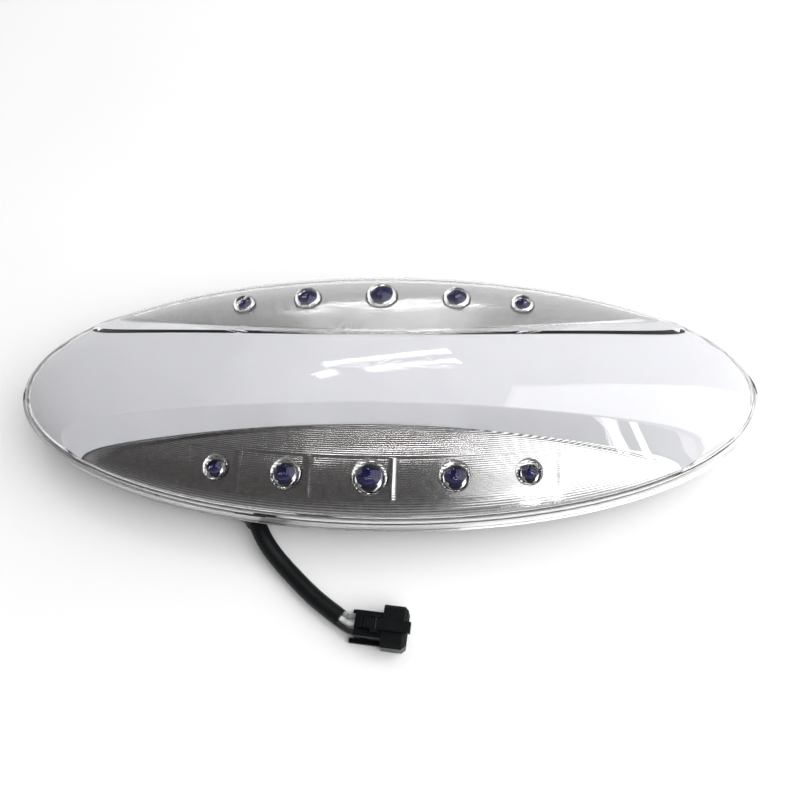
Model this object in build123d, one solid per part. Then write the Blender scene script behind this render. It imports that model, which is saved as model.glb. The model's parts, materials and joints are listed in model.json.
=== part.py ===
"""Sealed oval surface-mounted underwater light: clear domed lens over an opal centre band and two
ribbed reflectors, with white and blue LEDs, a black tub housing and a short three-core pigtail.

Millimetres. +X along the long axis, +Z out of the light, origin at the centre of the back face.
"""

import math
import os

from build123d import *

# Outline and lens
HALF_LENGTH = 122.0
HALF_WIDTH = 47.0
RIM_Z = 20.0
SKIRT_BOTTOM_Z = 13.5
RIM_STEP = 1.2
RIM_STEP_DROP = 0.5
LENS_WALL = 1.5
SKIRT_WALL = 1.9
JOIN_LAP = 0.2

# Crowned centre and lower crescent fields, as rises above the rim
CROWN_RISE = 15.6
FIELD_RISE = 10.4
FIELD_LATITUDE = 15.0

# Bevel wall between the crowned centre and a crescent, as half widths at two levels
WALL_LEVEL = 16.0
WALL_LOW_MID = 26.2
WALL_LOW_BOW = 14.8
WALL_LOW_PINCH = 11.4
WALL_HIGH_MID = 12.0
WALL_HIGH_PINCH = 8.2
WALL_REACH = 106.0
WALL_STATIONS = (-1.0, -0.8, -0.5, -0.25, 0.0, 0.25, 0.5, 0.8, 1.0)
WALL_UNDER = -22.0
WALL_OVER = 17.5
BLOCK_OUT = 70.0

# Blue LED row: stations along the light, the magnifier dome's radius and the LED's at each
LED_ARC_RADIUS = 404.0
LED_ARC_MID_Y = 34.0
LED_STATIONS = (
    (-48.3, 4.05, 1.75),
    (-25.9, 4.9, 2.4),
    (0.0, 5.65, 2.9),
    (25.9, 4.9, 2.4),
    (48.3, 4.05, 1.75),
)
DOME_RISE_SHARE = 0.66
LED_CAP_SHARE = 0.5
LED_FLANGE = 0.4
LED_FLANGE_THICK = 1.0
LED_POCKET_GAP = 0.4
LED_POCKET_CLEAR = 0.3
REFLECTOR_HOLE_GAP = 0.35

# Layers under the lens
LAYER_GAP = 0.3
REFLECTOR_THICK = 0.8
DIFFUSER_THICK = 1.4
REFLECTOR_TUCK = 2.8
TUCK_GAP = 0.2
CARRIER_TOP_Z = 17.2
CARRIER_BOTTOM_Z = 13.7
CARRIER_WIDTH = 3.2
CARRIER_GAP = 0.25
BEAD_WIDTH = 0.8

# Housing tub
TUB_HALF_LENGTH = 112.0
TUB_HALF_WIDTH = 37.0
TUB_WALL = 2.2
TUB_FLOOR = 2.4
TUB_EDGE_RADIUS = 2.0
FLANGE_BOTTOM_Z = 11.2
FLANGE_TOP_Z = 13.2
FLANGE_INSET = 2.3
POCKET_LENGTH = 110.0
POCKET_WIDTH = 30.0
POCKET_RADIUS = 6.0
POCKET_DEPTH = 0.8

# Threaded mounting inserts in the back
INSERT_X = 80.0
INSERT_Y = 16.0
INSERT_BORE = 2.5
INSERT_RADIUS = 3.6
INSERT_LENGTH = 6.5
INSERT_GROOVE = 0.3
BOSS_RADIUS = 5.6
BOSS_TOP_Z = 8.6

# Boards and heat spreader
BOARD_THICK = 1.6
SPREADER_LENGTH = 190.0
SPREADER_WIDTH = 28.0
SPREADER_Z = 8.8
SPREADER_THICK = 1.5
MAIN_BOARD_LENGTH = 184.0
MAIN_SCREWS = ((-88.0, 0.0), (-30.0, 11.3), (-30.0, -11.3), (30.0, 11.3), (30.0, -11.3), (88.0, 0.0))
PILLAR_RADIUS = 3.0
WHITE_LED_SIDE = 5.0
WHITE_LED_HEIGHT = 1.6
WHITE_LED_PITCH = 20.0
WHITE_LEDS_PER_ROW = 9
WHITE_ROW_Y = 6.5
SIDE_BOARD_HALF_LENGTH = 55.0
SIDE_BOARD_INNER = 5.0
SIDE_BOARD_OUTER = 5.8
SIDE_SCREW_X = (-37.0, -13.0, 13.0, 37.0)
SIDE_SCREW_OUT = 3.9
DRIVER_LENGTH = 62.0
DRIVER_WIDTH = 13.0
DRIVER_Y = -21.5
DRIVER_Z = 4.2
DRIVER_SCREW_X = 28.0
DRIVER_PILLAR_RADIUS = 2.2
DRIVER_TOP = DRIVER_Z + BOARD_THICK

# Parts on the driver board: places along it, and sizes in X, Y and Z
CAPACITOR_X = 20.0
CAPACITOR_RADIUS = 4.0
CAPACITOR_HEIGHT = 6.6
CAPACITOR_EDGE = 0.5
INDUCTOR_X = 10.0
INDUCTOR_RADIUS = 4.4
INDUCTOR_WAIST = 3.6
INDUCTOR_HEIGHT = 4.8
INDUCTOR_FLANGE = 0.9
REGULATORS = ((1.5, "white_regulator"), (-5.5, "blue_regulator"))
REGULATOR_BODY = (4.6, 6.0, 1.8)
REGULATOR_TAB = (3.8, 1.8, 0.5)
REGULATOR_TAB_Y = 3.8
DIODE_X = -11.0
DIODE_SIZE = (2.6, 4.4, 2.1)
RESISTOR_SIZE = (1.6, 3.2, 0.6)
RESISTOR_COUNT = 4
RESISTOR_FIRST_X = -22.8
RESISTOR_PITCH = 1.9
RESISTOR_ROW = 4.4
TERMINAL_X = -19.0
TERMINAL_BACK = 1.2
TERMINAL_SIZE = (8.4, 5.4, 6.4)
TERMINAL_PITCH = 2.53
TERMINAL_SCREW_RADIUS = 0.9
TERMINAL_SCREW_SINK = 1.2

# Screws: head radius, head height, shank radius, shank length
BOARD_SCREW = (2.0, 1.4, 1.1, 6.5)
SIDE_SCREW = (1.6, 1.0, 0.8, 2.8)
DRIVER_SCREW = (1.8, 1.2, 0.9, 3.0)
CARRIER_SCREW = (1.7, 1.3, 0.85, 5.2)
CARRIER_SCREW_COUNT = 10
SCREW_GAP = 0.03
RECESS_SHARE = 0.6

# Cable, gland and strain relief
CABLE_RADIUS = 2.75
CABLE_EXIT = (-37.8, -42.5, 5.8)
BOOT_LENGTH = 3.5
BOOT_RADII = (3.9, 3.25)
GLAND_HEAD = 1.5
GLAND_HEAD_RADIUS = 4.5
GLAND_SHANK_RADIUS = 3.35
GLAND_SEAL = 0.7
SPOUT_OUT = 3.2
SPOUT_IN = 9.5
SPOUT_RADIUS = 5.2
GLAND_NUT = 3.0
NUT_RELIEF = 0.3
GLAND_THREAD_END = 4.4
INNER_RUN_PAST_NUT = 3.0
FLOOR_CLEAR = 0.05
CABLE_Z = CABLE_RADIUS + FLOOR_CLEAR
CABLE_ROUTE = (
    CABLE_EXIT,
    (-36.2, -45.5, 5.8),
    (-34.2, -48.6, 5.3),
    (-31.5, -51.9, 4.2),
    (-27.9, -55.5, 3.1),
    (-22.9, -60.1, CABLE_Z),
    (-18.6, -63.9, CABLE_Z),
    (-14.3, -67.2, CABLE_Z),
    (-8.6, -71.0, CABLE_Z),
)
ROUTE_ARC_SHARE = 0.45

# Connector, in its own frame: +X out of the mouth, origin on the floor at the rear face
CONNECTOR_AT = (-3.6, -73.0)
CONNECTOR_TURN = -5.0
REAR_LENGTH = 8.4
REAR_WIDTH = 7.6
REAR_BOTTOM = 0.6
REAR_TOP = 7.4
MOUTH_LENGTH = 7.4
MOUTH_WIDTH = 12.6
MOUTH_TOP = 8.0
MOUTH_EDGE = 1.1
RAIL_START = -1.7
RAIL_OUT = 1.2
RAIL_TOP = 1.4
SOCKET_WIDTH = 9.6
SOCKET_BOTTOM = 1.6
SOCKET_TOP = 6.4
SOCKET_DEPTH = 7.0
WIRE_PITCH = 2.3
WIRE_RADIUS = 0.9
WIRE_SPREAD = 1.85
WIRE_Z = 4.0
SEAL_DEPTH = 2.2
SEAL_WIDTH = 6.9
SEAL_BOTTOM = 2.6
SEAL_TOP = 5.4
PIN_SIDE = 0.8
PIN_LENGTH = 9.4
WINDOW_START = 1.6
WINDOW_LENGTH = 2.6
WINDOW_BOTTOM = 3.2
WINDOW_HEIGHT = 1.0
WINDOW_DEPTH = 0.6
CORE_RUN = 1.7

# Sprung locking lever on the connector
PIVOT_X = 6.4
PIVOT_Z = 8.8
PIVOT_RADIUS = 0.55
PIVOT_GAP = 0.06
LEVER_WIDTH = 3.2
LEVER_BOTTOM = 8.35
LEVER_TOP = 9.2
LEVER_START = 1.0
LEVER_END = 17.0
HOOK_LENGTH = 0.9
HOOK_BOTTOM = 7.1
PAD_LENGTH = 3.0
PAD_TOP = 9.7
PAD_RIDGES = 3
CHEEK_GAP = 0.15
CHEEK_THICK = 0.8
CHEEK_LENGTH = 2.6
CHEEK_TOP = 9.7

# Leads inside the tub
LEAD_RADIUS = 0.8
ENTRY_RUN = 2.2
ENTRY_FAN = 0.8
TERMINAL_LEAD_PITCH = 1.75
TERMINAL_LEAD_Z = 8.8
LEAD_TURNS = {
    "black": ((-52.6, -10.4, 6.0), (-44.6, -6.0, 6.2), (-37.6, -9.2, 6.6), (-34.4, -16.6, 7.6)),
    "white": ((-50.4, -11.6, 6.0), (-44.2, -8.6, 6.2), (-39.0, -11.6, 6.6), (-35.6, -18.2, 7.6)),
    "grey": ((-47.9, -13.0, 6.0), (-44.0, -11.2, 6.2), (-40.3, -14.0, 6.6), (-37.0, -20.4, 7.6)),
}
LEAD_LAST_X = {"black": -30.0, "white": -31.0, "grey": -32.0}
FRONT_JUMPER = (
    (26.5, -25.8, DRIVER_TOP),
    (26.5, -25.8, 8.6),
    (26.5, -29.7, 11.2),
    (26.5, -29.7, FLANGE_TOP_Z),
)
REAR_JUMPER = (
    (-15.0, -17.0, DRIVER_TOP),
    (-15.0, -17.0, 7.2),
    (-15.0, 25.0, 7.2),
    (-15.0, 29.6, 9.6),
    (-15.0, 29.6, FLANGE_TOP_Z),
)
MAIN_JUMPER = (
    (5.5, -16.4, DRIVER_TOP),
    (5.5, -16.4, 11.3),
    (5.5, -SPREADER_WIDTH / 2, 11.3),
)

CORES = ((-1, "black"), (0, "white"), (1, "grey"))
SPOUT_END = -(BOOT_LENGTH + GLAND_HEAD + GLAND_SEAL)
ON_BASE = (Align.CENTER, Align.CENTER, Align.MIN)


def write(name, shape):
    """Write one sub-part's file."""
    export_step(shape, f"parts/{name}.step")


def box_between(corner, opposite):
    """Box between two opposite corners."""
    size = [abs(b - a) for a, b in zip(corner, opposite)]
    centre = [(a + b) / 2 for a, b in zip(corner, opposite)]
    return Pos(*centre) * Box(*size)


def plate(half_x, half_y, low, high):
    """Elliptical plate between two levels."""
    return extrude(Pos(0, 0, low) * Ellipse(half_x, half_y), high - low)


def ring(half_x, half_y, width, low, high):
    """Elliptical ring of a constant width."""
    return plate(half_x, half_y, low, high) - plate(half_x - width, half_y - width, low, high)


def on_ellipse(half_x, half_y, turn):
    """Point of an ellipse at a parameter angle in degrees."""
    return half_x * math.cos(math.radians(turn)), half_y * math.sin(math.radians(turn))


def footprint(inset):
    """Half sizes of the lens form at the rim level, moved inwards."""
    return HALF_LENGTH - RIM_STEP - inset, HALF_WIDTH - RIM_STEP - inset


def crown(inset):
    """Half ellipsoid of the crowned centre."""
    half_x, half_y = footprint(inset)
    half_ball = Sphere(1, arc_size1=0, align=ON_BASE)
    return Pos(0, 0, RIM_Z) * scale(half_ball, by=(half_x, half_y, CROWN_RISE - inset))


def field(inset):
    """Shallow cap whose surface is the crescent fields."""
    half_x, half_y = footprint(inset)
    ball = 1 / math.cos(math.radians(FIELD_LATITUDE))
    sunk = ball * math.sin(math.radians(FIELD_LATITUDE))
    cap = Sphere(ball, arc_size1=FIELD_LATITUDE, align=ON_BASE)
    rise = (FIELD_RISE - inset) / (ball - sunk)
    return Pos(0, 0, RIM_Z) * scale(cap, by=(half_x, half_y, rise))


def field_z(x, y, inset=0.0):
    """Height of the crescent field surface."""
    half_x, half_y = footprint(inset)
    ball = 1 / math.cos(math.radians(FIELD_LATITUDE))
    sunk = ball * math.sin(math.radians(FIELD_LATITUDE))
    reach = (x / half_x) ** 2 + (y / half_y) ** 2
    share = (math.sqrt(ball**2 - reach) - sunk) / (ball - sunk)
    return RIM_Z + (FIELD_RISE - inset) * share


def wall_y(x, level, inset):
    """Half width of the bevel wall at a level above the rim, moved inwards by its own normal."""
    u = x / 100
    low = WALL_LOW_MID + WALL_LOW_BOW * u**2 - WALL_LOW_PINCH * u**4
    high = WALL_HIGH_MID - WALL_HIGH_PINCH * u**4
    lean = (low - high) / WALL_LEVEL
    return low - lean * level - inset * math.sqrt(1 + lean**2)


def side_block(side, inset):
    """Everything outside the bevel wall on one side."""
    sections = []
    for level in (WALL_UNDER, WALL_OVER):
        points = [(s * WALL_REACH, side * wall_y(s * WALL_REACH, level, inset)) for s in WALL_STATIONS]
        edge = Spline(*points)
        corners = [(s * WALL_REACH, side * BLOCK_OUT) for s in (1, -1)]
        rest = Polyline(points[-1], *corners, points[0])
        sections.append(Pos(0, 0, RIM_Z + level) * make_face(edge + rest))
    return loft(sections, ruled=True)


def form(inset, low, base_inset):
    """Whole lens form at an inset, closed downwards by an elliptical plate."""
    half_x, half_y = footprint(base_inset)
    centre = crown(inset) - side_block(1, inset) - side_block(-1, inset)
    return centre + field(inset) + plate(half_x, half_y, low, RIM_Z)


def field_form(inset, low):
    """Crescent field form at an inset, closed downwards."""
    half_x, half_y = footprint(inset)
    return field(inset) + plate(half_x, half_y, low, RIM_Z)


def led_places():
    """Place of every blue LED: name, x, y, dome radius and LED radius."""
    for side, row in ((-1, "front"), (1, "rear")):
        for number, (x, dome_radius, led_radius) in enumerate(LED_STATIONS, 1):
            drop = LED_ARC_RADIUS - math.sqrt(LED_ARC_RADIUS**2 - x**2)
            yield f"blue_led_{row}_{number}", x, side * (LED_ARC_MID_Y - drop), dome_radius, led_radius


def led_shoulder(x, y):
    """Level where a blue LED's cap starts: the reflector's surface around it."""
    return field_z(x, y, LENS_WALL + LAYER_GAP)


def dome(x, y, radius):
    """Solid magnifier dome, square to the crescent field."""
    step = 0.01
    lean_x = (field_z(x + step, y) - field_z(x - step, y)) / (2 * step)
    lean_y = (field_z(x, y + step) - field_z(x, y - step)) / (2 * step)
    normal = Vector(-lean_x, -lean_y, 1).normalized()
    rise = DOME_RISE_SHARE * radius
    ball = (radius**2 + rise**2) / (2 * rise)
    centre = Vector(x, y, field_z(x, y)) - normal * (ball - rise)
    return Pos(*centre) * Sphere(ball)


def make_lens():
    """Clear lens: crowned centre, crescent fields, domes with LED pockets, stepped rim and skirt."""
    outside = form(0, SKIRT_BOTTOM_Z, 0)
    outside += plate(HALF_LENGTH, HALF_WIDTH, SKIRT_BOTTOM_Z, RIM_Z - RIM_STEP_DROP)
    for _, x, y, radius, _ in led_places():
        outside += dome(x, y, radius)
    hollow = form(LENS_WALL, CARRIER_TOP_Z, LENS_WALL - JOIN_LAP)
    skirt_hollow = plate(
        HALF_LENGTH - SKIRT_WALL, HALF_WIDTH - SKIRT_WALL, SKIRT_BOTTOM_Z - 1, RIM_Z - LENS_WALL
    )
    lens = outside - hollow - skirt_hollow
    for _, x, y, _, radius in led_places():
        top = led_shoulder(x, y) + LED_CAP_SHARE * radius + LED_POCKET_CLEAR
        lens -= Pos(x, y, RIM_Z) * Cylinder(radius + LED_POCKET_GAP, top - RIM_Z, align=ON_BASE)
    write("outer_lens", lens)


def make_reflectors():
    """Two thin metallised crescents with a hole at each blue LED."""
    top = LENS_WALL + LAYER_GAP
    shell = field_form(top, CARRIER_TOP_Z) - field_form(top + REFLECTOR_THICK, CARRIER_TOP_Z)
    for _, x, y, _, radius in led_places():
        shell -= Pos(x, y, RIM_Z) * Cylinder(radius + REFLECTOR_HOLE_GAP, 3 * RIM_STEP + FIELD_RISE)
    for side, name in ((-1, "front_reflector"), (1, "rear_reflector")):
        write(name, shell & side_block(side, top + REFLECTOR_TUCK))


def make_diffuser():
    """Opal band: crowned shell with bevelled sides that stand on the reflectors."""
    top = LENS_WALL + LAYER_GAP
    under = top + DIFFUSER_THICK
    outside_x, outside_y = footprint(top)
    inside_x, inside_y = footprint(under)
    outside = crown(top) + plate(outside_x, outside_y, CARRIER_TOP_Z, RIM_Z)
    inside = crown(under) + plate(inside_x, inside_y, CARRIER_TOP_Z, RIM_Z)
    for side in (1, -1):
        outside -= side_block(side, top)
        inside -= side_block(side, under)
    shell = outside - inside
    for side in (1, -1):
        seat = field_form(top - TUCK_GAP / 2, CARRIER_TOP_Z)
        shell -= seat & side_block(side, top + REFLECTOR_TUCK + TUCK_GAP)
    write("opal_diffuser", shell)


def carrier_screw_places():
    """Places of the screws that hold the carrier ring to the housing flange."""
    half_x = HALF_LENGTH - SKIRT_WALL - CARRIER_GAP - CARRIER_WIDTH / 2
    half_y = HALF_WIDTH - SKIRT_WALL - CARRIER_GAP - CARRIER_WIDTH / 2
    step = 360 / CARRIER_SCREW_COUNT
    return [on_ellipse(half_x, half_y, step * n + step / 2) for n in range(CARRIER_SCREW_COUNT)]


def screw_hole(size):
    """Clearance hole through whatever a screw passes, centred on the origin."""
    return Cylinder(size[2] + SCREW_GAP, 2 * size[3])


def make_carrier():
    """Metallised ring inside the skirt that the reflectors and the opal band stand on, and its bond."""
    half_x = HALF_LENGTH - SKIRT_WALL - CARRIER_GAP
    half_y = HALF_WIDTH - SKIRT_WALL - CARRIER_GAP
    body = ring(half_x, half_y, CARRIER_WIDTH, CARRIER_BOTTOM_Z, CARRIER_TOP_Z)
    for x, y in carrier_screw_places():
        body -= Pos(x, y, FLANGE_BOTTOM_Z) * Cylinder(CARRIER_SCREW[2], 2 * CARRIER_SCREW[3])
    write("carrier_ring", body)
    write("lens_bond_bead", ring(half_x, half_y, BEAD_WIDTH, CARRIER_TOP_Z, RIM_Z - LENS_WALL))
    half_x = HALF_LENGTH - FLANGE_INSET
    half_y = HALF_WIDTH - FLANGE_INSET
    seal = ring(half_x, half_y, CARRIER_WIDTH, FLANGE_TOP_Z, CARRIER_BOTTOM_Z)
    for x, y in carrier_screw_places():
        seal -= Pos(x, y, CARRIER_BOTTOM_Z) * screw_hole(CARRIER_SCREW)
    write("housing_seal", seal)


def cable_axis():
    """Direction in which the cable leaves the housing."""
    return (Vector(*CABLE_ROUTE[1]) - Vector(*CABLE_ROUTE[0])).normalized()


def along_cable(reach):
    """Point on the straight cable entry, measured outwards from the boot's tip."""
    return Vector(*CABLE_EXIT) + cable_axis() * reach


def entry_cylinder(radius, start, length, end_radius=None):
    """Cylinder or cone on the cable entry's axis, from a start outwards."""
    plane = Plane(origin=along_cable(start), z_dir=cable_axis())
    if end_radius is None:
        return plane * Cylinder(radius, length, align=ON_BASE)
    return plane * Cone(radius, end_radius, length, align=ON_BASE)


def insert_places():
    """Places of the four mounting inserts."""
    return [(x, y) for x in (-INSERT_X, INSERT_X) for y in (-INSERT_Y, INSERT_Y)]


def pillar(x, y, radius, top):
    """Round pillar on the tub's floor."""
    return Pos(x, y, POCKET_DEPTH) * Cylinder(radius, top - POCKET_DEPTH, align=ON_BASE)


def make_housing():
    """Black tub with a flange, pillars, insert bosses, back pocket and a moulded cable spout."""
    spout_start = SPOUT_END - SPOUT_OUT - SPOUT_IN
    spout_length = SPOUT_OUT + SPOUT_IN
    tub = plate(TUB_HALF_LENGTH, TUB_HALF_WIDTH, 0, FLANGE_TOP_Z)
    tub = fillet(tub.edges().group_by(Axis.Z)[0], TUB_EDGE_RADIUS)
    tub += plate(HALF_LENGTH - FLANGE_INSET, HALF_WIDTH - FLANGE_INSET, FLANGE_BOTTOM_Z, FLANGE_TOP_Z)
    spout = entry_cylinder(SPOUT_RADIUS, spout_start, spout_length)
    tub += spout
    hollow = plate(TUB_HALF_LENGTH - TUB_WALL, TUB_HALF_WIDTH - TUB_WALL, TUB_FLOOR, FLANGE_TOP_Z)
    tub -= hollow
    tub += spout & hollow
    for x, y in insert_places():
        tub += Pos(x, y, 0) * Cylinder(BOSS_RADIUS, BOSS_TOP_Z, align=ON_BASE)
    for x, y in MAIN_SCREWS:
        tub += pillar(x, y, PILLAR_RADIUS, SPREADER_Z)
    for x, y in driver_screw_places():
        tub += pillar(x, y, DRIVER_PILLAR_RADIUS, DRIVER_Z)
    pocket = RectangleRounded(POCKET_LENGTH, POCKET_WIDTH, POCKET_RADIUS)
    tub -= extrude(pocket, POCKET_DEPTH)
    tub -= entry_cylinder(GLAND_SHANK_RADIUS, spout_start, spout_length)
    relief = GLAND_NUT + NUT_RELIEF
    tub -= entry_cylinder(GLAND_HEAD_RADIUS + NUT_RELIEF, spout_start - relief, relief)
    for x, y in insert_places():
        tub -= Pos(x, y, 0) * Cylinder(INSERT_RADIUS, INSERT_LENGTH, align=ON_BASE)
    groups = (
        (MAIN_SCREWS, SPREADER_Z, BOARD_SCREW),
        (driver_screw_places(), DRIVER_Z, DRIVER_SCREW),
        (side_screw_places(), FLANGE_TOP_Z, SIDE_SCREW),
        (carrier_screw_places(), FLANGE_TOP_Z, CARRIER_SCREW),
    )
    for places, seat, screw in groups:
        for x, y in places:
            tub -= Pos(x, y, seat) * screw_hole(screw)
    write("rear_housing", tub)


def make_inserts():
    """Four brass thread inserts pressed into the back."""
    body = Cylinder(INSERT_RADIUS, INSERT_LENGTH) - Cylinder(INSERT_BORE, INSERT_LENGTH)
    groove = Cylinder(INSERT_RADIUS, INSERT_GROOVE * 2)
    groove -= Cylinder(INSERT_RADIUS - INSERT_GROOVE, INSERT_GROOVE * 2)
    for level in (-INSERT_LENGTH / 5, INSERT_LENGTH / 5):
        body -= Pos(0, 0, level) * groove
    inserts = [Pos(x, y, INSERT_LENGTH / 2) * body for x, y in insert_places()]
    write("mounting_inserts", Compound(inserts))


def pan_screw(size):
    """Cross-recess screw, head up, with the underside of its head at the origin."""
    head_radius, head_height, shank_radius, length = size
    body = Pos(0, 0, head_height / 2) * Cylinder(head_radius, head_height)
    body = fillet(body.edges().group_by(Axis.Z)[-1], head_height / 3)
    body += Pos(0, 0, -length / 2) * Cylinder(shank_radius, length)
    arm = RECESS_SHARE * 2 * head_radius
    for size_x, size_y in ((arm, arm / 4), (arm / 4, arm)):
        body -= Pos(0, 0, head_height) * Box(size_x, size_y, head_height)
    return body


def screw_group(name, size, places, seat, from_below=False):
    """Identical screws as one node of separate solids."""
    turn = Rot(180, 0, 0) if from_below else Rot(0, 0, 0)
    solids = [Pos(x, y, seat) * turn * pan_screw(size) for x, y in places]
    write(name, Compound(solids))


def driver_screw_places():
    """Places of the driver board's screws."""
    return [(-DRIVER_SCREW_X, DRIVER_Y), (DRIVER_SCREW_X, DRIVER_Y)]


def side_screw_places(side=None):
    """Places of the LED strip screws, on one side or both."""
    places = []
    radius = LED_ARC_RADIUS + SIDE_SCREW_OUT
    for s in (-1, 1) if side is None else (side,):
        for x in SIDE_SCREW_X:
            drop = radius - math.sqrt(radius**2 - x**2)
            places.append((x, s * (LED_ARC_MID_Y + SIDE_SCREW_OUT - drop)))
    return places


def make_main_board():
    """Aluminium heat spreader, white LED board and its two rows of LEDs."""
    board_z = SPREADER_Z + SPREADER_THICK
    spreader = Box(SPREADER_LENGTH, SPREADER_WIDTH, SPREADER_THICK, align=ON_BASE)
    spreader = Pos(0, 0, SPREADER_Z) * spreader
    board = Box(MAIN_BOARD_LENGTH, SPREADER_WIDTH, BOARD_THICK, align=ON_BASE)
    board = Pos(0, 0, board_z) * board
    for x, y in MAIN_SCREWS:
        hole = Pos(x, y, board_z) * screw_hole(BOARD_SCREW)
        spreader -= hole
        board -= hole
    write("heat_spreader", spreader)
    write("main_led_board", board)
    top = board_z + BOARD_THICK
    package = Box(WHITE_LED_SIDE, WHITE_LED_SIDE, WHITE_LED_HEIGHT)
    package -= Pos(0, 0, WHITE_LED_HEIGHT / 2) * Cylinder(WHITE_LED_SIDE * 0.4, WHITE_LED_HEIGHT / 4)
    first = -(WHITE_LEDS_PER_ROW - 1) / 2
    for side, name in ((-1, "white_led_row_front"), (1, "white_led_row_rear")):
        row = []
        for n in range(WHITE_LEDS_PER_ROW):
            x = (first + n) * WHITE_LED_PITCH
            row.append(Pos(x, side * WHITE_ROW_Y, top + WHITE_LED_HEIGHT / 2) * package)
        write(name, Compound(row))
    screw_group("main_board_screws", BOARD_SCREW, MAIN_SCREWS, top)


def side_board_top():
    """Level of the LED strips' upper face."""
    return FLANGE_TOP_Z + BOARD_THICK


def make_side_boards():
    """Curved LED strips under the reflectors, with their screws and blue LEDs."""
    half = SIDE_BOARD_HALF_LENGTH
    for side, row in ((-1, "front"), (1, "rear")):
        edges = []
        for offset in (-SIDE_BOARD_INNER, SIDE_BOARD_OUTER):
            radius = LED_ARC_RADIUS + offset
            drop = radius - math.sqrt(radius**2 - half**2)
            mid = LED_ARC_MID_Y + offset
            ends = ((-half, side * (mid - drop)), (0, side * mid), (half, side * (mid - drop)))
            edges.append(ends)
        inner = ThreePointArc(*edges[0])
        outer = ThreePointArc(*edges[1])
        sides = Line(edges[0][0], edges[1][0]) + Line(edges[0][2], edges[1][2])
        strip = extrude(Pos(0, 0, FLANGE_TOP_Z) * make_face(inner + outer + sides), BOARD_THICK)
        for x, y in side_screw_places(side):
            strip -= Pos(x, y, FLANGE_TOP_Z) * screw_hole(SIDE_SCREW)
        write(f"{row}_led_strip", strip)
        screw_group(f"{row}_strip_screws", SIDE_SCREW, side_screw_places(side), side_board_top())


def make_blue_leds():
    """Capped blue LEDs, each standing upright in its pocket under a magnifier."""
    base = side_board_top()
    for name, x, y, _, radius in led_places():
        height = led_shoulder(x, y) - base
        rise = LED_CAP_SHARE * radius
        ball = (radius**2 + rise**2) / (2 * rise)
        latitude = math.degrees(math.asin(1 - rise / ball))
        body = Cylinder(radius + LED_FLANGE, LED_FLANGE_THICK, align=ON_BASE)
        body += Cylinder(radius, height, align=ON_BASE)
        body += Pos(0, 0, height) * Sphere(ball, arc_size1=latitude, align=ON_BASE)
        write(name, Pos(x, y, base) * body)


def on_driver(x, y, shape):
    """A part standing on the driver board, placed from the middle of the board."""
    return Pos(x, DRIVER_Y + y, DRIVER_TOP) * shape


def make_driver():
    """Driver board and what is soldered to it."""
    board = Pos(0, DRIVER_Y, DRIVER_Z) * Box(DRIVER_LENGTH, DRIVER_WIDTH, BOARD_THICK, align=ON_BASE)
    for x, y in driver_screw_places():
        board -= Pos(x, y, DRIVER_Z) * screw_hole(DRIVER_SCREW)
    write("driver_board", board)
    screw_group("driver_screws", DRIVER_SCREW, driver_screw_places(), DRIVER_TOP)
    can = Cylinder(CAPACITOR_RADIUS, CAPACITOR_HEIGHT, align=ON_BASE)
    can = fillet(can.edges().group_by(Axis.Z)[-1], CAPACITOR_EDGE)
    write("smoothing_capacitor", on_driver(CAPACITOR_X, 0, can))
    waist = INDUCTOR_HEIGHT - 2 * INDUCTOR_FLANGE
    coil = Cylinder(INDUCTOR_RADIUS, INDUCTOR_FLANGE, align=ON_BASE)
    coil += Pos(0, 0, INDUCTOR_FLANGE) * Cylinder(INDUCTOR_WAIST, waist, align=ON_BASE)
    coil += Pos(0, 0, INDUCTOR_FLANGE + waist) * Cylinder(INDUCTOR_RADIUS, INDUCTOR_FLANGE, align=ON_BASE)
    write("power_inductor", on_driver(INDUCTOR_X, 0, coil))
    package = Box(*REGULATOR_BODY, align=ON_BASE)
    package += Pos(0, REGULATOR_TAB_Y, 0) * Box(*REGULATOR_TAB, align=ON_BASE)
    for x, name in REGULATORS:
        write(name, on_driver(x, 0, package))
    write("input_diode", on_driver(DIODE_X, 0, Box(*DIODE_SIZE, align=ON_BASE)))
    resistor = Box(*RESISTOR_SIZE, align=ON_BASE)
    places = [RESISTOR_FIRST_X + RESISTOR_PITCH * n for n in range(RESISTOR_COUNT)]
    write("ballast_resistors", Compound([on_driver(x, RESISTOR_ROW, resistor) for x in places]))
    block = Box(*TERMINAL_SIZE, align=ON_BASE)
    for number, _ in CORES:
        screw = Cylinder(TERMINAL_SCREW_RADIUS, 2 * TERMINAL_SCREW_SINK)
        block -= Pos(number * TERMINAL_PITCH, 0, TERMINAL_SIZE[2]) * screw
    write("terminal_block", on_driver(TERMINAL_X, -TERMINAL_BACK, block))


def turn_radii(points):
    """Largest even arc at each corner: a fixed share of its shorter run over the half turn's tangent."""
    radii = []
    for before, here, after in zip(points, points[1:], points[2:]):
        run_in = Vector(*here) - Vector(*before)
        run_out = Vector(*after) - Vector(*here)
        half_turn = math.radians(run_in.get_angle(run_out)) / 2
        radii.append(ROUTE_ARC_SHARE * min(run_in.length, run_out.length) / math.tan(half_turn))
    return radii


def tube(points, radius):
    """Round tube along straight runs and tangent arcs."""
    route = FilletPolyline(*points, radius=turn_radii(points))
    start = Plane(origin=route @ 0, z_dir=route % 0)
    return sweep(start * Circle(radius), path=route), route


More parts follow.
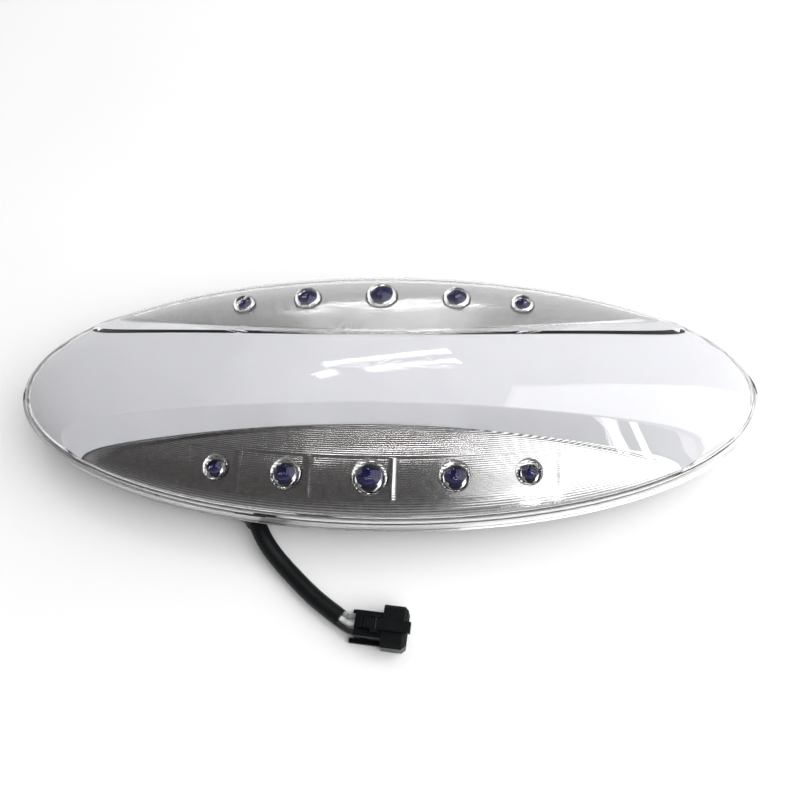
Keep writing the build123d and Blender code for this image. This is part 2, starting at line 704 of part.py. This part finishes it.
def make_gland():
    """Gland, its seal and nut, the tapered boot and the straight cable entry through them."""
    head_start = -(BOOT_LENGTH + GLAND_HEAD)
    body = entry_cylinder(GLAND_HEAD_RADIUS, head_start, GLAND_HEAD)
    shank_start = SPOUT_END - SPOUT_OUT - SPOUT_IN - GLAND_THREAD_END
    body += entry_cylinder(GLAND_SHANK_RADIUS - SCREW_GAP, shank_start, head_start - shank_start)
    through = -shank_start + INNER_RUN_PAST_NUT
    bore = entry_cylinder(CABLE_RADIUS, -through, through)
    write("cable_gland", body - bore)
    seal = entry_cylinder(GLAND_HEAD_RADIUS, SPOUT_END, GLAND_SEAL)
    write("gland_seal", seal - entry_cylinder(GLAND_SHANK_RADIUS, SPOUT_END, GLAND_SEAL))
    nut_start = SPOUT_END - SPOUT_OUT - SPOUT_IN - GLAND_NUT
    nut_plane = Plane(origin=along_cable(nut_start), x_dir=(0, 0, 1), z_dir=cable_axis())
    nut = extrude(nut_plane * RegularPolygon(GLAND_HEAD_RADIUS, 6, major_radius=True), GLAND_NUT)
    write("gland_nut", nut - entry_cylinder(GLAND_SHANK_RADIUS, nut_start, GLAND_NUT))
    boot = entry_cylinder(BOOT_RADII[0], -BOOT_LENGTH, BOOT_LENGTH, BOOT_RADII[1])
    write("strain_relief_boot", boot - bore)
    write("cable_entry", bore)
    return along_cable(-through)


def wire_row_start(number):
    """Start of one core at the sheath's cut end."""
    end = Vector(*CABLE_ROUTE[-1])
    heading = (end - Vector(*CABLE_ROUTE[-2])).normalized()
    across = Vector(-heading.Y, heading.X, 0)
    return end + across * (number * WIRE_SPREAD), heading


def make_cable():
    """Sheathed cable on the floor and its three cores to the connector."""
    solid, route = tube(CABLE_ROUTE, CABLE_RADIUS)
    write("cable_sheath", solid)
    radii = [round(r, 1) for r in turn_radii(CABLE_ROUTE)]
    print("cable radii", radii, "length", round(route.length, 2))
    expected = math.pi * CABLE_RADIUS**2 * route.length
    print("tube volume", round(solid.volume, 1), "section x length", round(expected, 1))
    inward = Vector(1, 0, 0).rotate(Axis.Z, CONNECTOR_TURN) * CORE_RUN
    for number, colour in CORES:
        start, heading = wire_row_start(number)
        end = connector_point(0, number * WIRE_PITCH, WIRE_Z)
        points = (start, start + heading * CORE_RUN, end - inward, end)
        core, _ = tube([tuple(p) for p in points], WIRE_RADIUS)
        write(f"core_{colour}", core)


def make_inner_leads(entry_end):
    """Cores and jumper leads inside the tub."""
    across = Vector(-cable_axis().Y, cable_axis().X, 0)
    terminal_x = TERMINAL_X - TERMINAL_SIZE[0] / 2
    for number, colour in CORES:
        start = entry_end + across * (number * WIRE_SPREAD)
        inner = start - cable_axis() * (ENTRY_RUN - number * ENTRY_FAN)
        terminal_y = DRIVER_Y - TERMINAL_BACK - number * TERMINAL_LEAD_PITCH
        last_run = [(x, terminal_y, TERMINAL_LEAD_Z) for x in (LEAD_LAST_X[colour], terminal_x)]
        points = (tuple(start), tuple(inner), *LEAD_TURNS[colour], *last_run)
        core, _ = tube(points, LEAD_RADIUS)
        write(f"inner_lead_{colour}", core)
    jumpers = (("front_jumper", FRONT_JUMPER), ("rear_jumper", REAR_JUMPER), ("main_jumper", MAIN_JUMPER))
    for name, points in jumpers:
        lead, _ = tube(points, LEAD_RADIUS)
        write(name, lead)


def connector_place():
    """Where the connector lies and which way its mouth points."""
    return Pos(*CONNECTOR_AT, 0) * Rot(0, 0, CONNECTOR_TURN)


def connector_point(x, y, z):
    """Point given in the connector's frame, in the light's frame."""
    return (connector_place() * Pos(x, y, z)).position


def make_connector():
    """Connector housing, wire seal, contact pins and the sprung locking lever."""
    place = connector_place()
    half_rear = REAR_WIDTH / 2
    half_mouth = MOUTH_WIDTH / 2
    mouth_end = REAR_LENGTH + MOUTH_LENGTH
    body = box_between((0, -half_rear, REAR_BOTTOM), (REAR_LENGTH, half_rear, REAR_TOP))
    mouth = box_between((REAR_LENGTH, -half_mouth, 0), (mouth_end, half_mouth, MOUTH_TOP))
    end_edges = mouth.faces().sort_by(Axis.X)[-1].edges()
    mouth = chamfer(mouth.edges().filter_by(Axis.X) + end_edges, MOUTH_EDGE)
    body += mouth
    for side in (-1, 1):
        rail_start = (RAIL_START, side * (half_rear - JOIN_LAP), 0)
        body += box_between(rail_start, (REAR_LENGTH, side * (half_rear + RAIL_OUT), RAIL_TOP))
    socket_start = mouth_end - SOCKET_DEPTH
    half_socket = SOCKET_WIDTH / 2
    body -= box_between((socket_start, -half_socket, SOCKET_BOTTOM), (mouth_end, half_socket, SOCKET_TOP))
    for side in (-1, 1):
        body -= box_between(
            (WINDOW_START, side * half_rear, WINDOW_BOTTOM),
            (WINDOW_START + WINDOW_LENGTH, side * (half_rear - WINDOW_DEPTH), WINDOW_BOTTOM + WINDOW_HEIGHT),
        )
    seal = box_between((0, -SEAL_WIDTH / 2, SEAL_BOTTOM), (SEAL_DEPTH, SEAL_WIDTH / 2, SEAL_TOP))
    body -= seal
    for number, _ in CORES:
        y = number * WIRE_PITCH
        pin = box_between(
            (SEAL_DEPTH, y - PIN_SIDE / 2, WIRE_Z - PIN_SIDE / 2),
            (SEAL_DEPTH + PIN_LENGTH, y + PIN_SIDE / 2, WIRE_Z + PIN_SIDE / 2),
        )
        body -= pin
        tip = chamfer(pin.edges().group_by(Axis.X)[-1], PIN_SIDE / 4)
        write(f"contact_pin_{number + 2}", place * tip)
    for side in (-1, 1):
        inner = LEVER_WIDTH / 2 + CHEEK_GAP
        body += box_between(
            (PIVOT_X - CHEEK_LENGTH / 2, side * inner, REAR_TOP - JOIN_LAP),
            (PIVOT_X + CHEEK_LENGTH / 2, side * (inner + CHEEK_THICK), CHEEK_TOP),
        )
    body -= Pos(PIVOT_X, 0, PIVOT_Z) * Rot(90, 0, 0) * Cylinder(PIVOT_RADIUS + PIVOT_GAP, REAR_WIDTH)
    write("connector_housing", place * body)
    write("wire_seal", place * seal)
    half_lever = LEVER_WIDTH / 2
    lever = box_between((LEVER_START, -half_lever, LEVER_BOTTOM), (LEVER_END, half_lever, LEVER_TOP))
    hook_start = LEVER_END - HOOK_LENGTH
    lever += box_between((hook_start, -half_lever, HOOK_BOTTOM), (LEVER_END, half_lever, LEVER_TOP))
    for n in range(PAD_RIDGES):
        start = LEVER_START + n * PAD_LENGTH / PAD_RIDGES
        end = start + PAD_LENGTH / PAD_RIDGES / 2
        lever += box_between((start, -half_lever, LEVER_TOP), (end, half_lever, PAD_TOP))
    reach = 2 * (half_lever + CHEEK_GAP + CHEEK_THICK)
    lever += Pos(PIVOT_X, 0, PIVOT_Z) * Rot(90, 0, 0) * Cylinder(PIVOT_RADIUS, reach)
    write("locking_lever", place * lever)
    pivot = connector_point(PIVOT_X, 0, PIVOT_Z)
    print("lever pivot mm", [round(v, 4) for v in pivot])


def main():
    os.makedirs("parts", exist_ok=True)
    make_lens()
    make_reflectors()
    make_diffuser()
    make_carrier()
    make_housing()
    make_inserts()
    make_main_board()
    make_side_boards()
    make_blue_leds()
    make_driver()
    screw_group("carrier_screws", CARRIER_SCREW, carrier_screw_places(), FLANGE_BOTTOM_Z, from_below=True)
    entry_end = make_gland()
    make_inner_leads(entry_end)
    make_cable()
    make_connector()


main()
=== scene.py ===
"""Looks for the sealed oval underwater light: camera, lead, studio and a material for every piece.

Metres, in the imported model's frame: +X along the light, +Z out of its lens, origin under its middle.
"""

import json
import math

import bpy
from mathutils import Matrix, Vector


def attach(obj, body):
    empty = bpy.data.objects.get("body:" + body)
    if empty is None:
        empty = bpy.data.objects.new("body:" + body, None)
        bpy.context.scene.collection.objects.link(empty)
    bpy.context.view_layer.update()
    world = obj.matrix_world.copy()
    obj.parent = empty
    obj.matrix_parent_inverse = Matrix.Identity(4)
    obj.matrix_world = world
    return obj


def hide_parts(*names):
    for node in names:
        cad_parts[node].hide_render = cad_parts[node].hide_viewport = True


MM = 0.001

# Camera: where it aims, how far off it is and how it is turned, in degrees
CAMERA_AIM = Vector((7.7, -4.0, 20.0)) * MM
CAMERA_DISTANCE = 0.2434
CAMERA_AZIMUTH = -9.02
CAMERA_ELEVATION = 60.68
CAMERA_ROLL = -7.33
CAMERA_LENS = 33.4
CLIP = (0.01, 50.0)

# The lead's route in millimetres, the sheath's radius, and how finely the cord is divided along and round
# it
CABLE_RADIUS = 2.75 * MM
CABLE_ROUTE = (
    (-37.8, -42.5, 5.8),
    (-36.2, -45.5, 5.8),
    (-34.2, -48.6, 5.3),
    (-31.5, -51.9, 4.2),
    (-27.9, -55.5, 3.1),
    (-22.9, -60.1, 2.8),
    (-18.6, -63.9, 2.8),
    (-14.3, -67.2, 2.8),
    (-8.6, -71.0, 2.8),
)
CABLE_STEPS = 12
CABLE_ROUNDNESS = 8

# Reflector form in millimetres: the shallow cap it follows, where it ends and how it is divided
REFLECTOR_HALF = (119.0, 44.0)
REFLECTOR_RISE = 8.6
RIM_Z = 20.0
CAP_LATITUDE = 15.0
REFLECTOR_FOOT_Z = 17.25
REFLECTOR_THICK = 0.6
COLUMN_STEP = 0.5
REFLECTOR_REACH = 104.0
ROW_MARGIN = 3.0

# Bevelled wall of the opal band: half widths at its foot and one level up, as curves along the light in
# shares of the span, and how far the reflector goes under it
WALL_SPAN = 100.0
WALL_LEVEL = 16.0
WALL_LOW_MID = 26.2
WALL_LOW_BOW = 14.8
WALL_LOW_PINCH = 11.4
WALL_HIGH_MID = 12.0
WALL_HIGH_PINCH = 8.2
WALL_TUCK = 4.6

# Fine ribs that follow the rim
RIB_PITCH = 0.67
RIB_DEPTH = 0.075
ROWS_PER_RIB = 6

# LED row: its arc, and each station along it with the radius of its hole
LED_ARC_RADIUS = 404.0
LED_ARC_MID_Y = 34.0
LED_STATIONS = ((-48.3, 2.1), (-25.9, 2.75), (0.0, 3.25), (25.9, 2.75), (48.3, 2.1))
HOLE_SNAP_SHARE = 0.5
HOLE_KEEP_SHARE = 0.97

# Shallow cell round the front LED row, and the low upright ridge beside each of its first stations
CELL_HALF = 6.3
CELL_DEPTH = 0.08
CELL_EDGE = 0.5
CELL_REACH = 57.0
RIDGE_SIDE = 6.8
RIDGE_COUNT = 3
RIDGE_HALF = 0.7
RIDGE_RISE = 0.15

# Detail of a noise, and the range of its value that is spread over a colour or a roughness
NOISE_DETAIL = 4.0
NOISE_RANGE = (0.3, 0.7)

# Studio: a bright room with a dark card overhead, shaded by how far a direction is from the card's
DARK_WAY = (-0.38, -0.24, 0.89)
WORLD_SHADES = (
    (0.05, (1.0, 1.0, 1.0)),
    (0.38, (0.74, 0.74, 0.745)),
    (0.88, (0.10, 0.097, 0.095)),
)
WORLD_STRENGTH = 1.1
FLOOR_HALF = 25.0
FLOOR_Z = -0.0001

# Lamps: name, direction, distance, size, turn in degrees and power
LIGHTS = (
    ("right_box", (0.66, -0.10, 0.74), 1.25, (1.4, 1.7), 0.0, 20.0),
    ("back_strip_1", (-0.085, 0.560, 0.823), 1.6, (0.44, 0.045), 14.0, 0.80),
    ("back_strip_2", (-0.031, 0.511, 0.846), 1.6, (0.33, 0.045), 17.0, 0.62),
    ("back_strip_3", (-0.208, 0.456, 0.865), 1.6, (0.08, 0.050), 17.0, 0.15),
    ("window_pane_1", (0.300, -0.690, 0.660), 1.6, (0.07, 0.20), 0.0, 0.70),
    ("window_pane_2", (0.365, -0.650, 0.670), 1.6, (0.04, 0.20), 0.0, 0.40),
)

# Opaque looks: dark and light colour, roughness range, grains per metre, relief in metres, extras
SATIN = {"shine": 0.12}
SHEATHED = {"shine": 0.15}
PLAIN = {}
METAL = {"metal": 1.0}
BRUSHED = {"metal": 1.0, "stretch": (0.1, 1, 1)}
SURFACES = {
    "metallised_reflector": ((0.49, 0.48, 0.475), (0.54, 0.53, 0.525), (0.10, 0.14), 600, 0.0, METAL),
    "metallised_carrier": ((0.86, 0.86, 0.86), (0.92, 0.92, 0.92), (0.3, 0.4), 200, 0.0, METAL),
    "bond_sealant": ((0.44, 0.435, 0.41), (0.58, 0.575, 0.55), (0.4, 0.6), 300, 0.00005, PLAIN),
    "black_abs": ((0.016, 0.016, 0.017), (0.028, 0.028, 0.029), (0.42, 0.6), 2600, 0.00002, PLAIN),
    "seal_rubber": ((0.012, 0.012, 0.012), (0.022, 0.022, 0.022), (0.6, 0.8), 1500, 0.00002, PLAIN),
    "grey_seal_rubber": ((0.15, 0.15, 0.16), (0.22, 0.22, 0.23), (0.5, 0.65), 1200, 0.00002, PLAIN),
    "brass_insert": ((0.60, 0.44, 0.18), (0.76, 0.60, 0.30), (0.2, 0.35), 900, 0.0, METAL),
    "spreader_aluminium": ((0.66, 0.67, 0.68), (0.80, 0.81, 0.82), (0.28, 0.42), 400, 0.0, BRUSHED),
    "white_board": ((0.78, 0.78, 0.76), (0.86, 0.86, 0.84), (0.3, 0.42), 700, 0.00001, PLAIN),
    "green_board": ((0.02, 0.15, 0.05), (0.04, 0.22, 0.09), (0.3, 0.42), 700, 0.00001, PLAIN),
    "white_led_package": ((0.78, 0.72, 0.34), (0.90, 0.86, 0.55), (0.3, 0.5), 900, 0.0, PLAIN),
    "screw_steel": ((0.46, 0.46, 0.47), (0.62, 0.62, 0.63), (0.25, 0.42), 1200, 0.0, METAL),
    "black_component": ((0.02, 0.02, 0.02), (0.045, 0.045, 0.045), (0.4, 0.6), 1500, 0.00001, PLAIN),
    "capacitor_can": ((0.6, 0.61, 0.62), (0.75, 0.76, 0.77), (0.2, 0.35), 600, 0.0, METAL),
    "ferrite": ((0.05, 0.05, 0.05), (0.09, 0.09, 0.09), (0.5, 0.7), 1800, 0.00002, PLAIN),
    "resistor_ceramic": ((0.03, 0.03, 0.03), (0.07, 0.07, 0.07), (0.3, 0.5), 1500, 0.0, PLAIN),
    "terminal_green": ((0.03, 0.17, 0.05), (0.05, 0.24, 0.08), (0.35, 0.5), 900, 0.00001, PLAIN),
    "black_nylon": ((0.003, 0.004, 0.004), (0.005, 0.006, 0.007), (0.26, 0.40), 1600, 0.00001, SATIN),
    "cable_jacket": ((0.004, 0.005, 0.005), (0.006, 0.007, 0.008), (0.38, 0.50), 900, 0.00001, SHEATHED),
    "white_insulation": ((0.74, 0.76, 0.73), (0.84, 0.86, 0.83), (0.25, 0.4), 800, 0.0, PLAIN),
    "grey_insulation": ((0.30, 0.31, 0.32), (0.40, 0.41, 0.42), (0.25, 0.4), 800, 0.0, PLAIN),
    "black_insulation": ((0.01, 0.01, 0.01), (0.02, 0.02, 0.02), (0.25, 0.4), 800, 0.0, PLAIN),
    "tinned_contact": ((0.62, 0.62, 0.60), (0.76, 0.76, 0.74), (0.2, 0.35), 1500, 0.0, METAL),
}
FLOOR_LOOK = ((0.90, 0.90, 0.90), (0.92, 0.92, 0.92), (0.6, 0.7), 8)

# Clear, opal and LED plastics; the glare is the share of its true reflections that the clear one keeps
CLEAR_COLOUR = (0.975, 0.98, 0.985)
CLEAR_SHADOW = (0.93, 0.935, 0.94)
CLEAR_IOR = 1.5
CLEAR_GLARE = (0.55, 0.55, 0.55)
CLEAR_GRAIN = 160
CLEAR_ROUGH = (0.0, 0.025)
OPAL_DARK = (0.555, 0.55, 0.57)
OPAL_LIGHT = (0.575, 0.57, 0.59)
OPAL_GRAIN = 90
OPAL_ROUGH = (0.5, 0.6)
OPAL_SHINE = 0.2
OPAL_DEPTH = 0.002
OPAL_DEPTH_SHARE = 0.15
LED_DARK = (0.002, 0.0015, 0.030)
LED_LIGHT = (0.004, 0.003, 0.050)
LED_GRAIN = 500
LED_ROUGH = (0.05, 0.12)
LED_SHINE = 0.0


def material(name):
    """New node material: its tree, its Principled shader and its output."""
    made = bpy.data.materials.new(name)
    made.use_nodes = True
    tree = made.node_tree
    shader = tree.nodes["Principled BSDF"]
    return made, tree, shader, tree.nodes["Material Output"]


def noise(tree, scale, stretch=(1, 1, 1)):
    """Noise over the piece's own coordinates, at so many waves per metre."""
    place = tree.nodes.new("ShaderNodeTexCoord")
    mapping = tree.nodes.new("ShaderNodeMapping")
    mapping.inputs["Scale"].default_value = [scale * s for s in stretch]
    texture = tree.nodes.new("ShaderNodeTexNoise")
    texture.inputs["Scale"].default_value = 1.0
    texture.inputs["Detail"].default_value = NOISE_DETAIL
    tree.links.new(place.outputs["Object"], mapping.inputs["Vector"])
    tree.links.new(mapping.outputs["Vector"], texture.inputs["Vector"])
    return texture.outputs["Fac"]


def spread(tree, value, low, high):
    """Map a noise value to a range."""
    node = tree.nodes.new("ShaderNodeMapRange")
    node.inputs["From Min"].default_value = NOISE_RANGE[0]
    node.inputs["From Max"].default_value = NOISE_RANGE[1]
    node.inputs["To Min"].default_value = low
    node.inputs["To Max"].default_value = high
    tree.links.new(value, node.inputs["Value"])
    return node.outputs["Result"]


def tint(tree, value, dark, light):
    """Colour between two by a noise value."""
    node = tree.nodes.new("ShaderNodeValToRGB")
    for stop, position, colour in zip(node.color_ramp.elements, NOISE_RANGE, (dark, light)):
        stop.position = position
        stop.color = (*colour, 1)
    tree.links.new(value, node.inputs["Fac"])
    return node.outputs["Color"]


def bump(tree, shader, value, depth):
    """Relief of a depth in metres from a noise value."""
    node = tree.nodes.new("ShaderNodeBump")
    node.inputs["Distance"].default_value = depth
    tree.links.new(value, node.inputs["Height"])
    tree.links.new(node.outputs["Normal"], shader.inputs["Normal"])


def surface(name, dark, light, rough, grain, relief=0.0, metal=0.0, shine=0.5, stretch=(1, 1, 1)):
    """Opaque material whose colour, roughness and relief vary with a fine grain."""
    made, tree, shader, _ = material(name)
    value = noise(tree, grain, stretch)
    tree.links.new(tint(tree, value, dark, light), shader.inputs["Base Color"])
    tree.links.new(spread(tree, value, *rough), shader.inputs["Roughness"])
    shader.inputs["Metallic"].default_value = metal
    shader.inputs["Specular IOR Level"].default_value = shine
    if relief:
        bump(tree, shader, value, relief)
    return made


def clear_material():
    """Clear polycarbonate that lets lamp light through to what is inside."""
    made, tree, shader, output = material("clear_polycarbonate_look")
    shader.inputs["Base Color"].default_value = (*CLEAR_COLOUR, 1)
    shader.inputs["Transmission Weight"].default_value = 1.0
    shader.inputs["IOR"].default_value = CLEAR_IOR
    shader.inputs["Specular Tint"].default_value = (*CLEAR_GLARE, 1)
    tree.links.new(spread(tree, noise(tree, CLEAR_GRAIN), *CLEAR_ROUGH), shader.inputs["Roughness"])
    passing = tree.nodes.new("ShaderNodeBsdfTransparent")
    passing.inputs["Color"].default_value = (*CLEAR_SHADOW, 1)
    path = tree.nodes.new("ShaderNodeLightPath")
    mix = tree.nodes.new("ShaderNodeMixShader")
    tree.links.new(path.outputs["Is Shadow Ray"], mix.inputs["Fac"])
    tree.links.new(shader.outputs["BSDF"], mix.inputs[1])
    tree.links.new(passing.outputs["BSDF"], mix.inputs[2])
    tree.links.new(mix.outputs["Shader"], output.inputs["Surface"])
    return made


def opal_material():
    """Milky opal plastic: soft and slightly translucent."""
    made, tree, shader, _ = material("opal_polycarbonate_look")
    value = noise(tree, OPAL_GRAIN)
    tree.links.new(tint(tree, value, OPAL_DARK, OPAL_LIGHT), shader.inputs["Base Color"])
    tree.links.new(spread(tree, value, *OPAL_ROUGH), shader.inputs["Roughness"])
    shader.inputs["Specular IOR Level"].default_value = OPAL_SHINE
    shader.inputs["Subsurface Weight"].default_value = OPAL_DEPTH_SHARE
    shader.inputs["Subsurface Scale"].default_value = OPAL_DEPTH
    return made


def make_looks():
    """Every look by the record's material slot."""
    looks = {
        "clear_polycarbonate": clear_material(),
        "opal_polycarbonate": opal_material(),
        "blue_led_epoxy": surface(
            "blue_led_epoxy_look", LED_DARK, LED_LIGHT, LED_ROUGH, LED_GRAIN, shine=LED_SHINE
        ),
    }
    for slot, (dark, light, rough, grain, relief, extras) in SURFACES.items():
        looks[slot] = surface(f"{slot}_look", dark, light, rough, grain, relief, **extras)
    return looks


def add_object(name, data):
    """New object in the scene."""
    made = bpy.data.objects.new(name, data)
    bpy.context.scene.collection.objects.link(made)
    return made


def place_camera():
    """Camera at the viewing angle, aimed at the light's middle."""
    camera = add_object("camera", bpy.data.cameras.new("camera"))
    camera.data.lens = CAMERA_LENS
    azimuth, elevation, roll = (math.radians(a) for a in (CAMERA_AZIMUTH, CAMERA_ELEVATION, CAMERA_ROLL))
    turn = (
        Matrix.Rotation(-azimuth, 4, "Z")
        @ Matrix.Rotation(math.pi / 2 - elevation, 4, "X")
        @ Matrix.Rotation(roll, 4, "Z")
    )
    forward = turn @ Vector((0, 0, -1))
    camera.matrix_world = Matrix.Translation(CAMERA_AIM - forward * CAMERA_DISTANCE) @ turn
    camera.data.clip_start, camera.data.clip_end = CLIP
    bpy.context.scene.camera = camera


def add_curve(name, points, radius):
    """Round cord along one open NURBS spline with these control points, in millimetres."""
    data = bpy.data.curves.new(name, "CURVE")
    data.dimensions = "3D"
    spline = data.splines.new("NURBS")
    spline.points.add(len(points) - 1)
    for point, place in zip(spline.points, points):
        point.co = (*(v * MM for v in place), 1)
    spline.order_u = 3
    spline.use_endpoint_u = True
    spline.resolution_u = CABLE_STEPS
    data.bevel_depth = radius
    data.bevel_resolution = CABLE_ROUNDNESS
    data.use_fill_caps = True
    return add_object(name, data)


def mesh_piece(name, vertices, faces, look):
    """Smooth mesh piece in metres."""
    data = bpy.data.meshes.new(name)
    data.from_pydata(vertices, [], faces)
    data.validate()
    data.shade_smooth()
    data.materials.append(look)
    return add_object(name, data)


def cap_z(x, y):
    """Height of the reflectors' cap, in millimetres."""
    ball = 1 / math.cos(math.radians(CAP_LATITUDE))
    sunk = ball * math.sin(math.radians(CAP_LATITUDE))
    reach = (x / REFLECTOR_HALF[0]) ** 2 + (y / REFLECTOR_HALF[1]) ** 2
    share = (math.sqrt(max(ball**2 - reach, 0)) - sunk) / (ball - sunk)
    return RIM_Z + REFLECTOR_RISE * share


def wall_y(x, level):
    """Where a reflector ends under the opal band's bevelled wall, in millimetres."""
    u = x / WALL_SPAN
    low = WALL_LOW_MID + WALL_LOW_BOW * u**2 - WALL_LOW_PINCH * u**4
    high = WALL_HIGH_MID - WALL_HIGH_PINCH * u**4
    lean = (low - high) / WALL_LEVEL
    return low - lean * level - WALL_TUCK * math.sqrt(1 + lean**2)


def rim_y(x, inset):
    """Half width of the reflectors' outline moved inwards, in millimetres."""
    return (REFLECTOR_HALF[1] - inset) * math.sqrt(1 - (x / (REFLECTOR_HALF[0] - inset)) ** 2)


def led_y(x):
    """Distance of the LED arc from the middle line, in millimetres."""
    return LED_ARC_MID_Y - LED_ARC_RADIUS + math.sqrt(LED_ARC_RADIUS**2 - x**2)


def step_down(distance, width):
    """One well inside an edge, zero well outside it, smooth between."""
    t = min(max(0.5 - distance / width, 0.0), 1.0)
    return t * t * (3 - 2 * t)


def relief(x, y, inset, side):
    """How far the reflector lies under its cap: ribs, and the front row's cell and ridges."""
    rib = RIB_DEPTH * 0.5 * (1 - math.cos(2 * math.pi * inset / RIB_PITCH))
    if side > 0:
        return rib
    off_row = abs(y - led_y(x)) - CELL_HALF
    beside_row = step_down(off_row, CELL_EDGE)
    cell = beside_row * step_down(abs(x) - CELL_REACH, CELL_EDGE)
    ridge = 0.0
    for station, _ in LED_STATIONS[:RIDGE_COUNT]:
        off = abs(x - station - RIDGE_SIDE)
        ridge = max(ridge, step_down(off - RIDGE_HALF, 2 * RIDGE_HALF) * beside_row)
    return rib * (1 - ridge) + CELL_DEPTH * cell - RIDGE_RISE * ridge


def snap_to_hole(place, holes):
    """Move a vertex that lies inside the outer part of a hole out to its edge."""
    x, y, z = place
    for hole_x, hole_y, radius in holes:
        reach = math.hypot(x - hole_x, y - hole_y)
        if radius * HOLE_SNAP_SHARE < reach < radius:
            share = radius / reach
            x = hole_x + (x - hole_x) * share
            y = hole_y + (y - hole_y) * share
    return x, y, z


def make_reflector(side, name, look):
    """One metallised crescent with fine ribs that follow the rim, a lip at the rim and its LED holes."""
    reach = round(REFLECTOR_REACH / COLUMN_STEP)
    columns = [COLUMN_STEP * n for n in range(-reach, reach + 1)]
    row_step = RIB_PITCH / ROWS_PER_RIB
    rows = round((REFLECTOR_HALF[1] - wall_y(0, 0) + ROW_MARGIN) / row_step)
    holes = [(x, side * led_y(x), radius) for x, radius in LED_STATIONS]
    vertices = []
    index = {}

    def vertex(i, j):
        """Index of the vertex at a column and a row; the row before the first is the lip's foot."""
        if (i, j) not in index:
            x = columns[i]
            inset = max(j, 0) * row_step
            y = rim_y(x, inset)
            z = REFLECTOR_FOOT_Z if j < 0 else cap_z(x, y) - relief(x, y, inset, side)
            index[i, j] = len(vertices)
            vertices.append(Vector(snap_to_hole((x, side * y, z), holes)) * MM)
        return index[i, j]

    def kept(x, j):
        """Whether a column and row lie outside the band's wall."""
        inset = max(j, 0) * row_step
        if abs(x) >= REFLECTOR_HALF[0] - inset:
            return False
        y = rim_y(x, inset)
        return y > wall_y(x, cap_z(x, y) - RIM_Z)

    def in_hole(x, j):
        """Whether a column and row lie inside an LED's hole."""
        y = rim_y(x, max(j, 0) * row_step)
        return any(math.hypot(x - hx, y - abs(hy)) < radius * HOLE_KEEP_SHARE for hx, hy, radius in holes)

    faces = []
    for i in range(len(columns) - 1):
        for j in range(-1, rows):
            corners = ((i, j), (i + 1, j), (i + 1, j + 1), (i, j + 1))
            if not all(kept(columns[a], b) for a, b in corners):
                continue
            if j >= 0 and sum(in_hole(columns[a], b) for a, b in corners) > 1:
                continue
            face = [vertex(a, b) for a, b in corners]
            faces.append(face if side < 0 else face[::-1])
    made = mesh_piece(name, vertices, faces, look)
    thick = made.modifiers.new("thickness", "SOLIDIFY")
    thick.thickness = REFLECTOR_THICK * MM
    thick.offset = -1
    return made


def make_world():
    """Bright room that darkens towards a card overhead."""
    world = bpy.data.worlds.new("studio")
    bpy.context.scene.world = world
    world.use_nodes = True
    tree = world.node_tree
    place = tree.nodes.new("ShaderNodeTexCoord")
    facing = tree.nodes.new("ShaderNodeVectorMath")
    facing.operation = "DOT_PRODUCT"
    facing.inputs[1].default_value = Vector(DARK_WAY).normalized()
    ramp = tree.nodes.new("ShaderNodeValToRGB")
    ramp.color_ramp.elements.new(0.5)
    for stop, (position, colour) in zip(ramp.color_ramp.elements, WORLD_SHADES):
        stop.position = position
        stop.color = (*colour, 1)
    tree.links.new(place.outputs["Generated"], facing.inputs[0])
    tree.links.new(facing.outputs["Value"], ramp.inputs["Fac"])
    tree.links.new(ramp.outputs["Color"], tree.nodes["Background"].inputs["Color"])
    tree.nodes["Background"].inputs["Strength"].default_value = WORLD_STRENGTH


def make_floor():
    """Pale floor just under the light."""
    ways = ((-1, -1), (1, -1), (1, 1), (-1, 1))
    corners = [(FLOOR_HALF * x, FLOOR_HALF * y, FLOOR_Z) for x, y in ways]
    floor = mesh_piece("floor", corners, [(0, 1, 2, 3)], surface("floor_look", *FLOOR_LOOK))


def make_lamps():
    """One large soft box, three strips behind and two window panes in front."""
    for name, way, distance, size, turn, power in LIGHTS:
        data = bpy.data.lights.new(name, "AREA")
        data.shape = "RECTANGLE"
        data.size, data.size_y = size
        data.energy = power
        lamp = add_object(name, data)
        aim = Vector(way).normalized()
        spin = Matrix.Rotation(math.radians(turn), 4, "Z")
        lamp.location = aim * distance
        lamp.rotation_euler = (aim.to_track_quat("Z", "Y").to_matrix().to_4x4() @ spin).to_euler()


def make_lead(look):
    """The sheathed lead as a cord along its route, in place of the model's sheath."""
    cable = add_curve("lead_sheath", CABLE_ROUTE, CABLE_RADIUS)
    cable.data.materials.append(look)
    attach(cable, "light")
    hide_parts("cable_sheath")


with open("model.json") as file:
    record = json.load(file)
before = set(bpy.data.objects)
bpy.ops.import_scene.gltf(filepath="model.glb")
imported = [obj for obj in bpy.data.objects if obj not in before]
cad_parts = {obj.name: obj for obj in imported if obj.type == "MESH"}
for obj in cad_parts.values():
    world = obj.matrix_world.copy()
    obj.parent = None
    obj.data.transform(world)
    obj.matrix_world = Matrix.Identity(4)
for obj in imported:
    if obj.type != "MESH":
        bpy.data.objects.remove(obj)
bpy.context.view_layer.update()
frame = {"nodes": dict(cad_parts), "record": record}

place_camera()
looks = make_looks()
for entry in frame["record"]["subparts"]:
    piece = frame["nodes"][entry["node"]]
    piece.data.materials.clear()
    piece.data.materials.append(looks[entry["material_slot"]])

make_lead(looks["cable_jacket"])

for side, row in ((-1, "front"), (1, "rear")):
    crescent = make_reflector(side, f"{row}_crescent", looks["metallised_reflector"])
    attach(crescent, "light")
    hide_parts(f"{row}_reflector")

bpy.context.scene.view_settings.view_transform = "Standard"
make_world()
make_floor()
make_lamps()
